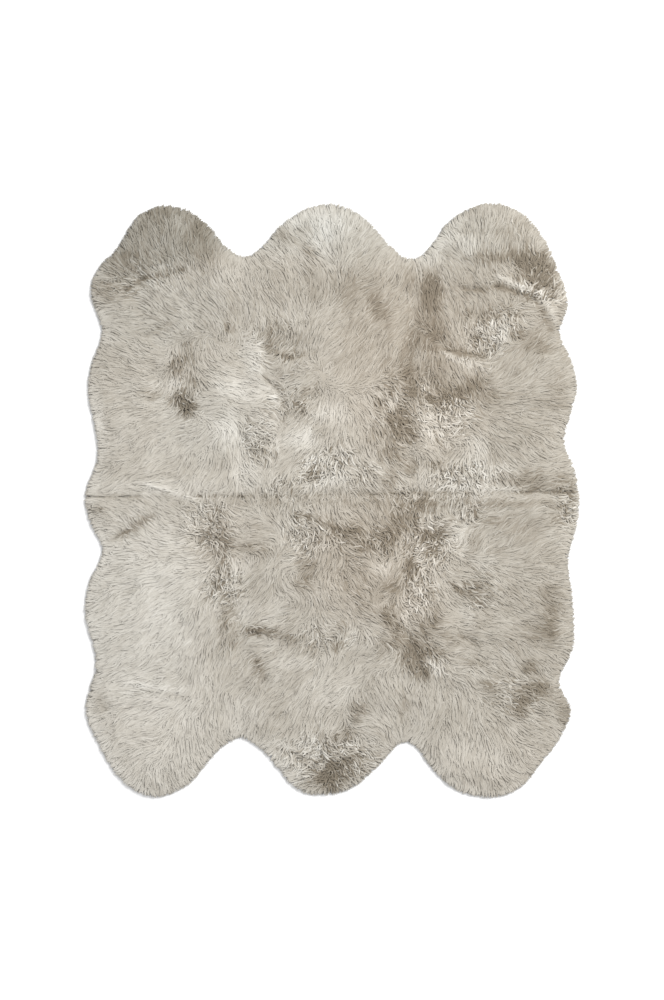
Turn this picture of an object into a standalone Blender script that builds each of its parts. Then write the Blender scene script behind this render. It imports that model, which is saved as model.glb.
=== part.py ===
"""A sheepskin rug: six pelts sewn edge to edge in three columns and two rows, lying flat.

Units are metres and +Z is up. The rug lies on the plane z = 0 with the origin under its middle.
+X runs across the three columns, and +Y along the two rows. Each pelt is one solid: its flat
underside is the hide, its top is the lumpy wool, and along the free edge the wool stands past
the hide in pointed locks. Pelts meet in straight seams, with a hairline gap between the solids.
"""

import math
import random
from typing import NamedTuple

import bmesh
import bpy
from mathutils import Vector, geometry, kdtree, noise

MM = 0.001

# Overall size, tips of the locks included
RUG_WIDTH = 1.650
RUG_LENGTH = 1.980

# The wool, from the underside of the hide
PILE_HEIGHT = 0.040
EDGE_HEIGHT = 0.029
EDGE_RISE = 0.085
TUFT_SIZE = 0.068
TUFT_SWELL = 0.0075
LOWEST_TOP = 0.0255

# The wall along the free edge, as rings of a given height and distance inside the lock tips
HIDE_INSET = 0.026
BULGE_INSET = 0.0145
BULGE_LOW = 0.0075
BULGE_HIGH = 0.0215
SHOULDER_INSET = 0.025

# The locks along the free edge
LOCK_PITCH = 0.0285
LOCK_SPREAD = 0.007
LOCK_SIDE_SWAY = 0.010
LOCK_BEND_SHARE = 0.5
LOCK_BEND_WIDTH = 0.62
LOCK_BEND_DROP = 0.0035
LOCK_TIP_HEIGHT = 0.0022

# The seams between pelts
SEAM_GAP = 0.0003
SEAM_PITCH = 0.052
SEAM_START = 0.048
SEAM_DIP = 0.0075
SEAM_REACH = 0.022

# The net of points on top of a pelt
TOP_PITCH = 0.036
TOP_CLEARANCE = 0.018
RIM_STEPS = 12

WOOL_COLOUR = (0.47, 0.43, 0.37, 1.0)
WOOL_ROUGHNESS = 0.95
SHARP_DEGREES = 50


class Pelt(NamedTuple):
    """One pelt, seen from above and listed anticlockwise, in millimetres.

    rim starts at a seam's end, follows the free edge and stops short of the next seam's end,
    which starts the next pelt's rim. corners are the seam crossings on the way back.
    """

    name: str
    corners: tuple
    rim: tuple


LEFT_CROSSING = (-303, 12)
RIGHT_CROSSING = (252, 22)

PELTS = (
    Pelt(
        "pelt_top_right",
        (RIGHT_CROSSING,),
        (
            (822, 28), (796, 130), (772, 183), (795, 290), (815, 380), (790, 480), (757, 552),
            (785, 655), (752, 770), (675, 915), (600, 975), (526, 991), (450, 972), (369, 915),
            (318, 842),
        ),
    ),
    Pelt(
        "pelt_top_middle",
        (LEFT_CROSSING, RIGHT_CROSSING),
        ((262, 803), (200, 842), (136, 915), (60, 972), (-17, 988), (-95, 970), (-176, 915), (-233, 848)),
    ),
    Pelt(
        "pelt_top_left",
        (LEFT_CROSSING,),
        (
            (-296, 811), (-355, 850), (-409, 915), (-492, 971), (-579, 981), (-655, 940), (-712, 848),
            (-790, 758), (-806, 680), (-768, 560), (-803, 455), (-815, 376), (-783, 150),
        ),
    ),
    Pelt(
        "pelt_bottom_left",
        (LEFT_CROSSING,),
        (
            (-825, 10), (-805, -83), (-767, -163), (-812, -275), (-825, -373), (-788, -542),
            (-823, -699), (-778, -815), (-689, -948), (-589, -991), (-476, -948), (-380, -840),
        ),
    ),
    Pelt(
        "pelt_bottom_middle",
        (RIGHT_CROSSING, LEFT_CROSSING),
        ((-309, -793), (-250, -822), (-193, -882), (-115, -968), (-25, -985), (75, -955), (160, -882)),
    ),
    Pelt(
        "pelt_bottom_right",
        (RIGHT_CROSSING,),
        (
            (246, -806), (316, -882), (385, -953), (476, -988), (559, -988), (639, -948), (700, -870),
            (765, -780), (795, -700), (755, -602), (800, -499), (802, -349), (786, -190), (820, -60),
        ),
    ),
)


class Furrow(NamedTuple):
    """A soft trough in the wool between two points, in millimetres. A negative depth is a ridge."""

    x0: float
    y0: float
    x1: float
    y1: float
    width: float
    depth: float


FURROWS = (
    Furrow(-745, 708, -492, 778, 26, 7),
    Furrow(-618, 545, -525, 590, 22, 4),
    Furrow(-220, 515, -50, 487, 26, 7),
    Furrow(-216, 396, -145, 290, 24, 6),
    Furrow(-730, -135, -595, -52, 26, 6),
    Furrow(-612, 50, -460, 6, 22, -4),
    Furrow(-270, -435, -48, -497, 30, 6),
    Furrow(-255, -545, -215, -610, 26, 5),
    Furrow(-190, -822, -95, -862, 24, 5),
    Furrow(565, 728, 690, 670, 20, -7),
    Furrow(690, 670, 735, 588, 20, -7),
    Furrow(400, 890, 560, 887, 18, 4),
    Furrow(190, 228, 250, 120, 34, 6),
    Furrow(250, -440, 312, -585, 40, 6),
)


class Hollow(NamedTuple):
    """A place where the wool lies open and lower, in millimetres."""

    x: float
    y: float
    radius: float
    depth: float


HOLLOWS = (
    Hollow(-505, 340, 60, 8),
    Hollow(-160, 330, 45, 6),
    Hollow(-55, 85, 55, 6),
    Hollow(-395, -120, 70, 8),
    Hollow(-360, -290, 60, 7),
    Hollow(-80, -120, 65, 6),
    Hollow(-775, -680, 45, 5),
    Hollow(-15, -900, 70, 8),
    Hollow(90, -740, 60, 6),
    Hollow(315, 690, 55, 6),
    Hollow(620, 790, 75, 7),
    Hollow(515, 500, 45, 6),
    Hollow(335, -110, 60, 7),
    Hollow(415, -300, 45, 5),
    Hollow(660, -655, 60, 7),
    Hollow(790, -50, 45, 4),
)


def clear_scene():
    for obj in list(bpy.data.objects):
        bpy.data.objects.remove(obj, do_unlink=True)


def smooth_step(share):
    share = min(max(share, 0.0), 1.0)
    return share * share * (3 - 2 * share)


def rim_stations():
    """The corners of the whole free edge, and the place in that list where each pelt's rim starts."""
    stations, starts = [], []
    for pelt in PELTS:
        starts.append(len(stations))
        stations += [Vector(point) * MM for point in pelt.rim]
    return stations, starts


def fitted_to_size(stations):
    """The scale across and along that gives the free edge the rug's width and length."""
    wide = max(p.x for p in stations) - min(p.x for p in stations)
    long = max(p.y for p in stations) - min(p.y for p in stations)
    return RUG_WIDTH / wide, RUG_LENGTH / long


def bezier_span(stations, index):
    """Points along the smooth free edge from one station to the next, without the last."""
    count = len(stations)
    before, start, end, after = (stations[(index + step) % count] for step in (-1, 0, 1, 2))
    chord = (end - start).length / 3
    leave = ((start - before).normalized() + (end - start).normalized()).normalized()
    arrive = ((end - start).normalized() + (after - end).normalized()).normalized()
    knots = [knot.to_3d() for knot in (start, start + leave * chord, end - arrive * chord, end)]
    points = geometry.interpolate_bezier(*knots, RIM_STEPS + 1)
    return [point.to_2d() for point in points[:-1]]


def evenly_spaced(line, pitch):
    """The same line with its points a near-even pitch apart, both ends kept."""
    lengths = [0.0]
    for start, end in zip(line, line[1:]):
        lengths.append(lengths[-1] + (end - start).length)
    count = max(2, round(lengths[-1] / pitch))
    spaced, leg = [], 0
    for step in range(count + 1):
        wanted = lengths[-1] * step / count
        while leg < len(line) - 2 and lengths[leg + 1] < wanted:
            leg += 1
        share = (wanted - lengths[leg]) / max(lengths[leg + 1] - lengths[leg], 1e-9)
        spaced.append(line[leg].lerp(line[leg + 1], share))
    return spaced


def rim_lines():
    """For each pelt, the smooth line along its free edge, from seam end to seam end."""
    stations, starts = rim_stations()
    across, along = fitted_to_size(stations)
    stations = [Vector((p.x * across, p.y * along)) for p in stations]
    spans = [bezier_span(stations, index) for index in range(len(stations))]
    lines = []
    for start, end in zip(starts, [*starts[1:], len(stations)]):
        line = [point for span in spans[start:end] for point in span]
        line.append(stations[end % len(stations)])
        lines.append(line)
    return lines


def tree_of(points):
    tree = kdtree.KDTree(len(points))
    for index, point in enumerate(points):
        tree.insert(point.to_3d(), index)
    tree.balance()
    return tree


def segment_distance(point, start, end):
    nearest, share = geometry.intersect_point_line(point, start, end)
    if share < 0:
        nearest = start
    elif share > 1:
        nearest = end
    return (point - nearest.to_2d()).length


class WoolTop:
    """The height of the wool over the floor, anywhere on the rug."""

    def __init__(self, lines):
        edge = [point for line in lines for point in evenly_spaced(line, LOCK_PITCH / 2)]
        self.edge = tree_of(edge)
        left, right = Vector(LEFT_CROSSING) * MM, Vector(RIGHT_CROSSING) * MM
        by_name = {pelt.name: line for pelt, line in zip(PELTS, lines)}
        self.seams = (
            (by_name["pelt_top_left"][-1], left),
            (left, right),
            (right, by_name["pelt_top_right"][0]),
            (by_name["pelt_top_left"][0], left),
            (left, by_name["pelt_bottom_middle"][0]),
            (by_name["pelt_top_middle"][0], right),
            (right, by_name["pelt_bottom_right"][0]),
        )

    def relief(self, point):
        """How far tufts, furrows and hollows raise the wool, or lower it."""
        place = (point / TUFT_SIZE).to_3d()
        rise = TUFT_SWELL * noise.fractal(place, 1.0, 2.0, 2)
        for row in FURROWS:
            start, end = Vector((row.x0, row.y0)) * MM, Vector((row.x1, row.y1)) * MM
            away = segment_distance(point, start, end) / (row.width * MM)
            rise -= row.depth * MM * math.exp(-away * away)
        for row in HOLLOWS:
            away = (point - Vector((row.x, row.y)) * MM).length / (row.radius * MM)
            rise -= row.depth * MM * math.exp(-away * away)
        return rise

    def at(self, point):
        inside = smooth_step(self.edge.find(point.to_3d())[2] / EDGE_RISE)
        seam = min(segment_distance(point, start, end) for start, end in self.seams)
        height = EDGE_HEIGHT + (PILE_HEIGHT - EDGE_HEIGHT) * inside
        height -= SEAM_DIP * math.exp(-((seam / SEAM_REACH) ** 2))
        return max(height + self.relief(point) * inside, LOWEST_TOP)


def left_of(direction):
    return Vector((-direction.y, direction.x))


class Outline:
    """A pelt's outline: stations along the free edge, then stations along its seams."""

    def __init__(self, pelt, line):
        self.rim = evenly_spaced(line, LOCK_PITCH)
        corners = [Vector(corner) * MM for corner in pelt.corners]
        path = [self.rim[-1], *corners, self.rim[0]]
        legs = [(end - start).normalized() for start, end in zip(path, path[1:])]
        shift = SEAM_GAP / 2
        self.inward = self.inward_along_rim(legs)
        self.rim[-1] += left_of(legs[0]) * shift
        self.rim[0] += left_of(legs[-1]) * shift
        self.seam = []
        for number, (start, end, leg) in enumerate(zip(path, path[1:], legs)):
            first = start + leg * SEAM_START if number == 0 else start
            last = end - leg * SEAM_START if number == len(legs) - 1 else end
            stations = [p + left_of(leg) * shift for p in evenly_spaced([first, last], SEAM_PITCH)]
            if number > 0:
                stations[0] += left_of(legs[number - 1]) * shift
            if number < len(legs) - 1:
                stations.pop()
            self.seam += stations

    def inward_along_rim(self, legs):
        """The way into the pelt at each station. At the two ends it follows the seam."""
        ways = [legs[-1] * -1]
        for before, after in zip(self.rim, self.rim[2:]):
            ways.append(left_of((after - before).normalized()))
        ways.append(legs[0])
        return ways

    def ring(self, inset):
        """The outline's points, those on the free edge moved in from the lock tips."""
        rim = [point + way * inset for point, way in zip(self.rim, self.inward)]
        return rim + self.seam


def inner_net(ring):
    """Points of an even triangular net over the pelt, clear of its edge."""
    closed = [*ring, ring[0]]
    edge = tree_of(evenly_spaced(closed, TOP_CLEARANCE / 2))
    low_x, high_x = min(p.x for p in ring), max(p.x for p in ring)
    low_y, high_y = min(p.y for p in ring), max(p.y for p in ring)
    row_pitch = TOP_PITCH * math.sqrt(3) / 2
    net = []
    for row in range(int((high_y - low_y) / row_pitch) + 1):
        start = low_x + (TOP_PITCH / 2 if row % 2 else 0.0)
        for column in range(int((high_x - start) / TOP_PITCH) + 1):
            point = Vector((start + column * TOP_PITCH, low_y + row * row_pitch))
            if edge.find(point.to_3d())[2] > TOP_CLEARANCE:
                net.append(point)
    return net


def add_ring(mesh, points, heights):
    return [mesh.verts.new((point.x, point.y, height)) for point, height in zip(points, heights)]


def add_wall(mesh, lower, upper):
    """The band of faces between two rings, facing out."""
    count = len(lower)
    return [
        mesh.faces.new((lower[i], lower[(i + 1) % count], upper[(i + 1) % count], upper[i]))
        for i in range(count)
    ]


def add_top(mesh, shoulder, wool):
    """The wool's top: a net of triangles that shares the shoulder ring's points."""
    ring = [vert.co.to_2d() for vert in shoulder]
    places = ring + inner_net(ring)
    edge = [list(range(len(ring)))]
    found, _, faces, sources, _, _ = geometry.delaunay_2d_cdt(places, [], edge, 1, 1e-6)
    verts = []
    for place, source in zip(found, sources):
        on_ring = [index for index in source if index < len(ring)]
        verts.append(shoulder[on_ring[0]] if on_ring else mesh.verts.new((*place, wool.at(place))))
    for face in faces:
        mesh.faces.new([verts[index] for index in face])


def grow_lock(mesh, face, reach, sway):
    """Draws a face of the wall out into a four-sided lock that bends down to a point on the floor."""
    low = [vert.co.copy() for vert in face.verts]
    centre = face.calc_center_median()
    out = face.normal.to_2d().normalized().to_3d()
    side = Vector((-out.y, out.x, 0.0))
    bend = centre + out * reach * LOCK_BEND_SHARE + side * sway * LOCK_BEND_SHARE**2
    bend.z -= LOCK_BEND_DROP
    drawn = bmesh.ops.extrude_discrete_faces(mesh, faces=[face])["faces"][0]
    for vert, start in zip(drawn.verts, low):
        vert.co = bend + (start - centre) * LOCK_BEND_WIDTH
    tip = bmesh.ops.poke(mesh, faces=[drawn])["verts"][0]
    tip.co = centre + out * reach + side * sway
    tip.co.z = LOCK_TIP_HEIGHT


def grow_locks(mesh, wall, count, chance):
    """One lock on each of the first faces of the wall, which are those along the free edge."""
    mesh.normal_update()
    for face in wall[:count]:
        reach = BULGE_INSET + chance.uniform(-LOCK_SPREAD, 0.0)
        grow_lock(mesh, face, reach, chance.uniform(-LOCK_SIDE_SWAY, LOCK_SIDE_SWAY))


def wool_material():
    material = bpy.data.materials.new("wool")
    material.use_nodes = True
    shader = material.node_tree.nodes["Principled BSDF"]
    shader.inputs["Base Color"].default_value = WOOL_COLOUR
    shader.inputs["Roughness"].default_value = WOOL_ROUGHNESS
    shader.inputs["Metallic"].default_value = 0.0
    return material


def make_pelt(pelt, line, wool, material, chance):
    outline = Outline(pelt, line)
    shoulder_line = outline.ring(SHOULDER_INSET)
    count = len(shoulder_line)
    mesh = bmesh.new()
    hide = add_ring(mesh, outline.ring(HIDE_INSET), [0.0] * count)
    low = add_ring(mesh, outline.ring(BULGE_INSET), [BULGE_LOW] * count)
    high = add_ring(mesh, outline.ring(BULGE_INSET), [BULGE_HIGH] * count)
    shoulder = add_ring(mesh, shoulder_line, [wool.at(point) for point in shoulder_line])
    mesh.faces.new(reversed(hide))
    add_wall(mesh, hide, low)
    bulge = add_wall(mesh, low, high)
    add_wall(mesh, high, shoulder)
    add_top(mesh, shoulder, wool)
    grow_locks(mesh, bulge, len(outline.rim) - 1, chance)

    middle = sum((point.to_3d() for point in shoulder_line), Vector()) / count
    bmesh.ops.translate(mesh, verts=mesh.verts, vec=-middle)
    data = bpy.data.meshes.new(pelt.name)
    mesh.to_mesh(data)
    mesh.free()
    data.materials.append(material)
    data.shade_smooth()
    data.set_sharp_from_angle(angle=math.radians(SHARP_DEGREES))
    obj = bpy.data.objects.new(pelt.name, data)
    obj.location = middle
    bpy.context.scene.collection.objects.link(obj)
    return obj


def centre_rug(rug, pelts):
    """Parents the pelts to the rug's empty, and moves it so that their common box is centred."""
    for pelt in pelts:
        pelt.parent = rug
    places = [pelt.location + vert.co for pelt in pelts for vert in pelt.data.vertices]
    rug.location.x = -(max(p.x for p in places) + min(p.x for p in places)) / 2
    rug.location.y = -(max(p.y for p in places) + min(p.y for p in places)) / 2


def main():
    clear_scene()
    lines = rim_lines()
    wool = WoolTop(lines)
    material = wool_material()
    chance = random.Random(6)
    pelts = [make_pelt(pelt, line, wool, material, chance) for pelt, line in zip(PELTS, lines)]
    rug = bpy.data.objects.new("rug", None)
    bpy.context.scene.collection.objects.link(rug)
    centre_rug(rug, pelts)


main()
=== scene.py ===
"""The looks of a sheepskin rug: six pelts sewn edge to edge, lying flat with the wool up.

Each pelt is a thin suede hide on the floor, a body of underfur on it, and thousands of tapered
locks rooted in the underfur. The locks flow along listed strokes, part at creases, and
stand up short and curled in open patches. A zigzag thread joins the hides underneath.
Units are metres, or millimetres in the tables, and +Z is up.
"""

from typing import NamedTuple

import bpy
import numpy as np
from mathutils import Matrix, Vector, geometry, kdtree
from mathutils.bvhtree import BVHTree


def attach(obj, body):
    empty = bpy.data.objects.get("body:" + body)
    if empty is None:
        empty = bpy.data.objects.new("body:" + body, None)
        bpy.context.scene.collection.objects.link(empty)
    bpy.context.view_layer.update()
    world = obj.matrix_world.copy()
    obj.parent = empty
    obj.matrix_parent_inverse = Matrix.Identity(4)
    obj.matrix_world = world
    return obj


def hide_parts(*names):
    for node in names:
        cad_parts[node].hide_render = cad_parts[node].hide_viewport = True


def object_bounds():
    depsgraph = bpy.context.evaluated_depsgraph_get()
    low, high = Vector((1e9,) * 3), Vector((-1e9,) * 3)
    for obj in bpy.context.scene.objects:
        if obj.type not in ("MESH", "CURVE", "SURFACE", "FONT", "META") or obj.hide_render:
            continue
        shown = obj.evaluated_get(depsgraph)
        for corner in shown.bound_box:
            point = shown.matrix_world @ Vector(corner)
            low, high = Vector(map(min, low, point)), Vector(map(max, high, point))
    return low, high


MM = 0.001
UP = np.array([0.0, 0.0, 1.0])
TINY = 1e-9
THIRDS = (0.0, 0.33, 0.67)
SEED = 11

# Reading each pelt's outline and seams
FLAT_HEIGHT = 0.01 * MM
SHARED_GAP = 1.2 * MM
SEWN_GAP = 1.5 * MM
SEAM_MARGIN = 1 * MM
SEAM_STEP = 2 * MM
FINE_SEAM_STEP = 1 * MM
LEAST_SEAM_POINTS = 10
CURVE_STEPS = 4
SHARPEST = 0.5
RAY_HEIGHT = 1.0

# The hide, and how far the wool stands out past its edge
HIDE_THICKNESS = 0.0024
HIDE_BEVEL = 0.0009
HIDE_SIDE_INSET = 0.00015
HIDE_ROUNDING = 0.8
HIDE_SHARP_ANGLE = 0.8
OVERHANG = 0.026

# The thread that joins the hides
THREAD_RADIUS = 0.0005
THREAD_HEIGHT = 0.0002
THREAD_SINK = 0.0009
STITCH_LENGTH = 0.0035
STITCH_REACH = 0.0042

# The shape of the wool as a whole
CHART_PITCH = 0.008
CHART_MARGIN = 0.040
EDGE_TOP = 0.0275
LEAST_TOP = EDGE_TOP * 0.8
EDGE_FALL = 0.042
RIM_TIP = 0.003
CLUMP_RELIEF = 0.0013
RELIEF_SIZE = 0.02

# The underfur
UNDERFUR_DEPTH = 0.0042
OPEN_UNDERFUR_DEPTH = 0.0055
UNDERFUR_RELIEF = 0.0012
LEAST_UNDERFUR = 0.003
UNDERFUR_NET = 0.013
BASE_NET = UNDERFUR_NET * 6
NET_CLEARANCE = 0.45
JOIN_DISTANCE = 1e-7
UNDERFUR_FLOOR = 0.0045
UNDERFUR_INSET = -0.009
SEAM_INSET = 0.00015

# The locks on top
LOCK_PITCH = 0.0077
LOCK_LENGTH = 0.050
LOCK_WIDTH = 0.0056
LOCK_THICKNESS = 0.33
LOCK_ROOT_DEPTH = 0.0061
OPEN_REACH = 0.55
LEAST_REACH = 0.012
THIN_SHARE = 0.73
OPEN_SHARE = 0.12
CLUMP_PITCH = 0.022
STATIONS = np.array([0.0, 0.35, 0.7, 1.0])
STATION_WIDTHS = np.array([0.7, 1.0, 0.85, 0.0])
SIDES = 3
RINGS = len(STATIONS) - 1
SINK_POWER = 2.2
WAVES = 1.1
SHAKE = 0.45
LEAST_HEIGHT = 0.0022
LEAST_DROP = 0.0001

# How much the locks vary: for combed wool, then what openness adds
CLUMP_STRAY = (0.08, 0.3)
LOCK_STRAY = (0.06, 0.45)
SWING = (1, 3)
GATHER = (0.5, 0.2)
OPEN_WIDTH = 0.12
CLUMP_SWING = 0.0016
LOCK_SWING = 0.0008
LOCK_RELIEF = 0.0006
LOCK_ROLL = 0.4
CLUMP_LIFT = 0.5

# Ranges that the locks are drawn from
REACHES = (0.8, 1.3)
WIDTHS = (0.7, 1.2)
PHASES = (-0.5, 0.5)
RIM_GAPS = (-0.0015, 0.004)
OPEN_LIFTS = (-0.006, 0.003)
TIP_DROPS = (0.0005, 0.002)

# The short locks that stand where few others lie
BARE_CELL = 0.007
BARE_COUNT = 2
BARE_MARGIN = 4 * MM
STANDING_STRAY = 0.6
STANDING_REACH = 0.5
STANDING_WIDTH = 0.8

# The locks at the rim, tier by tier, and the ranges that they are drawn from
RIM_PITCH = 0.0040
RIM_ROOT_HEIGHTS = (0.0045, 0.010, 0.017)
RIM_SWELLS = (0.0035, 0.007, 0.006)
RIM_ROOT_INSETS = (0.001, 0.006)
RIM_ROOT_RISES = (-0.001, 0.002)
RIM_TIP_GAPS = (-0.0015, 0.007)
RIM_TIP_HEIGHTS = (0.0022, 0.0065)
RIM_WIDTHS = (0.6, 1.1)
RIM_PHASES = (0, 6)
RIM_STRAY = 0.28
RIM_WAVER = 0.3
RIM_WAVER_SIZE = 0.03
RIM_SWING = 0.0015
RIM_OPENNESS = 0.3

# The combing
COMB_SOFTNESS = 0.028
RIM_COMB = 0.075
RIM_PULL = 0.9
CREASE_PUSH = 1.1
FOLD_PUSH = 0.4
# The crease depth in millimetres at which the painted shade in a crease darkens the tone by 1
CREASE_SHADE_DEPTH = 9

# How far a lock's facets take the light as the wool around them does
COMBED_SOFTNESS = 0.78
OPEN_SOFTNESS = 0.25
LIGHT_SLOPE = 0.2
RIM_LIGHT_SLOPE = 0.14
SIDE_RISE = 0.3
SIDE_LEAN = 0.8

# The rug's lower left side, where painted light makes the wool paler by the rim, against the lamp's shade
# there
PAINTED_LIGHT_SIDE = np.array([-0.74, -0.67])
PAINTED_RIM_LIGHT = 0.35
PAINTED_LIGHT_REACH = 0.045

# Tones, from -1, dark, to 1, pale
# Darkening towards the root, most where the wool lies open: partly the browner root wool, partly painted
# shade deep in the pile
ROOT_DARK = 0.06
OPEN_ROOT_DARK = 1.0
LOCK_TONES = 0.11
OPEN_LOCK_TONES = 0.38
TONE_DRAG = 0.009
# The underfur's darkening: partly root colour, partly painted shade in the gaps between locks
UNDERFUR_DARK = 0.1
BROAD_MOTTLE = 0.12
BROAD_MOTTLE_SIZE = 0.06
FINE_MOTTLE = 0.10
FINE_MOTTLE_SIZE = 0.022
TONE_LIMITS = (-1.25, 1.0)
OVAL_CORE = 0.45
OVAL_FADE = 0.95

# The maps: one runs round and along each lock, and one gives each lock a cell of its own
ROOT_CAP_MAP = ((0.0, 0.0), (0.5, 0.0), (0.25, 0.02))
UNDERFUR_STRAND = 0.012
UNDERFUR_LOCK = 0.5
CELL_MARGIN = 0.06
CELL_FILL = 0.88
LOCK_MAP_SHARE = 0.86
UNDERFUR_MAP_SCALE = 0.12
UNDERFUR_MAP_PLACE = (0.87, 0.02)

# Colours, each with its place between 0 and 1, and the ranges that vary them
WOOL_COLOURS = (
    (0.00, (0.071, 0.057, 0.040)),
    (0.25, (0.198, 0.165, 0.125)),
    (0.50, (0.401, 0.366, 0.318)),
    (0.75, (0.583, 0.548, 0.498)),
    (1.00, (0.75, 0.725, 0.69)),
)
WOOL_CASTS = ((0.0, (0.931, 0.98, 1.0)), (1.0, (1.0, 0.98, 0.945)))
SUEDE_COLOURS = ((0.0, (0.47, 0.39, 0.29)), (1.0, (0.74, 0.67, 0.56)))
THREAD_COLOURS = ((0.0, (0.46, 0.42, 0.35)), (1.0, (0.78, 0.75, 0.67)))
NOISE_RANGE = (0.3, 0.7)
TONE_RANGE = (0.222, 0.780)
FIBRE_RANGE = (-0.08, 0.08)
FIBRE_STRETCH = (16.0, 1.3, 1.0)
FIBRE_SEEDS = (0, 200)
MOTTLE_RANGE = (0.25, 0.75)
NAP_RANGE = (-0.12, 0.12)

# Floor, light and camera
FLOOR_SIZE = 30.0
FLOOR_HEIGHT = -0.0005
SKY_STRENGTH = 0.86
LAMP_PLACE = (3.0, 2.7, 5.1)
LAMP_SIZE = 3.0
LAMP_POWER = 420.0
PHOTO_HEIGHT = 3.3266
LENS = 85.0
SENSOR = 36.0
FARTHEST = 100.0


class Stroke(NamedTuple):
    """A place where the wool was combed, and the way its tips point, in degrees from +X."""

    x: float
    y: float
    heading: float


COMB = {
    "pelt_top_left": (
        (-605, 950, 95), (-680, 905, 118), (-420, 855, 88), (-470, 760, 118), (-730, 660, 160),
        (-505, 590, 130), (-325, 600, 112), (-610, 465, 150), (-605, 315, 176), (-480, 490, 262),
        (-485, 375, 262), (-390, 425, 325), (-325, 350, 330), (-420, 305, 5), (-450, 235, 205),
        (-340, 115, 265), (-390, 60, 240), (-605, 165, 208), (-680, 165, 214), (-745, 165, 188),
        (-605, 35, 178),
    ),
    "pelt_top_middle": (
        (-90, 955, 118), (-215, 840, 128), (0, 955, 92), (135, 835, 52), (-55, 810, 130),
        (-255, 780, 104), (-180, 635, 116), (-15, 710, 88), (45, 650, 40), (145, 690, 38), (210, 790, 78),
        (-140, 460, 62), (45, 430, 48), (125, 430, 42), (210, 530, 62), (-255, 415, 325),
        (-205, 335, 355), (-105, 400, 215), (-235, 240, 345), (10, 300, 270), (65, 295, 300),
        (-85, 265, 232), (-125, 190, 205), (-165, 100, 228), (-55, 75, 226), (0, 65, 268),
        (165, 335, 300), (145, 175, 285), (125, 100, 322), (-255, 100, 300), (-200, 65, 268),
    ),
    "pelt_top_right": (
        (460, 855, 95), (560, 850, 85), (410, 780, 140), (710, 705, 60), (745, 680, 25), (605, 750, 125),
        (550, 670, 125), (310, 730, 97), (450, 575, 100), (515, 550, 135), (590, 580, 300),
        (660, 600, 350), (680, 550, 25), (285, 440, 250), (465, 405, 282), (560, 425, 45), (630, 465, 50),
        (585, 365, 8), (770, 345, 0), (605, 135, 308), (410, 235, 40), (515, 235, 320), (460, 125, 270),
        (510, 135, 302), (415, 135, 232), (340, 175, 325), (320, 250, 308), (375, 295, 294),
        (470, 75, 318), (275, 85, 236), (395, 65, 240), (585, 55, 304), (660, 75, 5),
    ),
    "pelt_bottom_left": (
        (-675, -25, 150), (-760, -85, 176), (-530, -315, 202), (-480, -315, 230), (-440, -50, 138),
        (-455, -195, 190), (-335, -95, 320), (-295, -35, 340), (-315, -150, 355), (-325, -220, 255),
        (-375, -275, 268), (-355, -325, 222), (-405, -385, 245), (-750, -600, 198), (-560, -615, 205),
        (-420, -560, 255), (-315, -575, 220), (-325, -720, 272), (-620, -805, 198), (-620, -850, 218),
        (-470, -805, 278), (-550, -920, 265), (-495, -935, 292), (-405, -810, 284),
    ),
    "pelt_bottom_middle": (
        (-255, -110, 358), (-195, -50, 300), (-145, -20, 245), (-105, -65, 325), (-75, -125, 250),
        (-5, -50, 272), (110, -35, 282), (90, -85, 310), (165, -145, 300), (195, -205, 238),
        (145, -220, 325), (75, -185, 330), (90, -275, 322), (15, -275, 305), (-5, -225, 230),
        (-110, -190, 196), (-265, -240, 240), (-285, -310, 218), (-265, -355, 236), (-135, -295, 330),
        (-155, -355, 195), (125, -390, 320), (235, -365, 300), (185, -310, 225), (175, -450, 340),
        (0, -425, 328), (55, -450, 222), (-90, -465, 235), (-215, -410, 205), (-180, -645, 217),
        (90, -555, 212), (155, -520, 197), (-105, -720, 235), (-70, -740, 270), (0, -670, 228),
        (-145, -790, 205), (-90, -830, 220), (-155, -865, 290), (-70, -930, 188), (55, -940, 304),
        (80, -885, 298), (20, -825, 355), (90, -740, 335), (35, -775, 225), (140, -870, 320),
        (170, -625, 306), (215, -625, 285), (235, -780, 280),
    ),
    "pelt_bottom_right": (
        (340, -40, 240), (445, -25, 245), (355, -70, 2), (510, -15, 40), (585, -40, 350), (550, -80, 25),
        (625, -95, 42), (700, -65, 20), (760, -25, 300), (470, -140, 60), (325, -185, 225),
        (430, -220, 327), (330, -245, 295), (470, -235, 322), (470, -315, 330), (285, -325, 286),
        (320, -370, 300), (550, -405, 335), (700, -405, 330), (355, -420, 10), (425, -445, 325),
        (265, -445, 300), (760, -450, 15), (415, -520, 358), (470, -505, 312), (570, -535, 308),
        (680, -555, 305), (355, -545, 298), (720, -610, 330), (510, -630, 340), (470, -675, 268),
        (285, -620, 266), (340, -735, 248), (395, -750, 284), (510, -780, 272), (375, -890, 280),
        (510, -960, 295), (660, -865, 310), (680, -825, 322),
    ),
}


class Patch(NamedTuple):
    """An oval of wool: how open it lies, from 0 to 1, and its tone, from -1, dark, to 1, pale. The tone is
    partly the wool's own colour and partly painted light and shade, where the nap lies towards or away from
    the light.
    """

    x: float
    y: float
    half_length: float
    half_width: float
    tone: float
    openness: float = 0.0
    turn: float = 0.0


# The tones below are partly the wool's own colour and partly painted light and shade from the way the nap
# lies to the light
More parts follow.
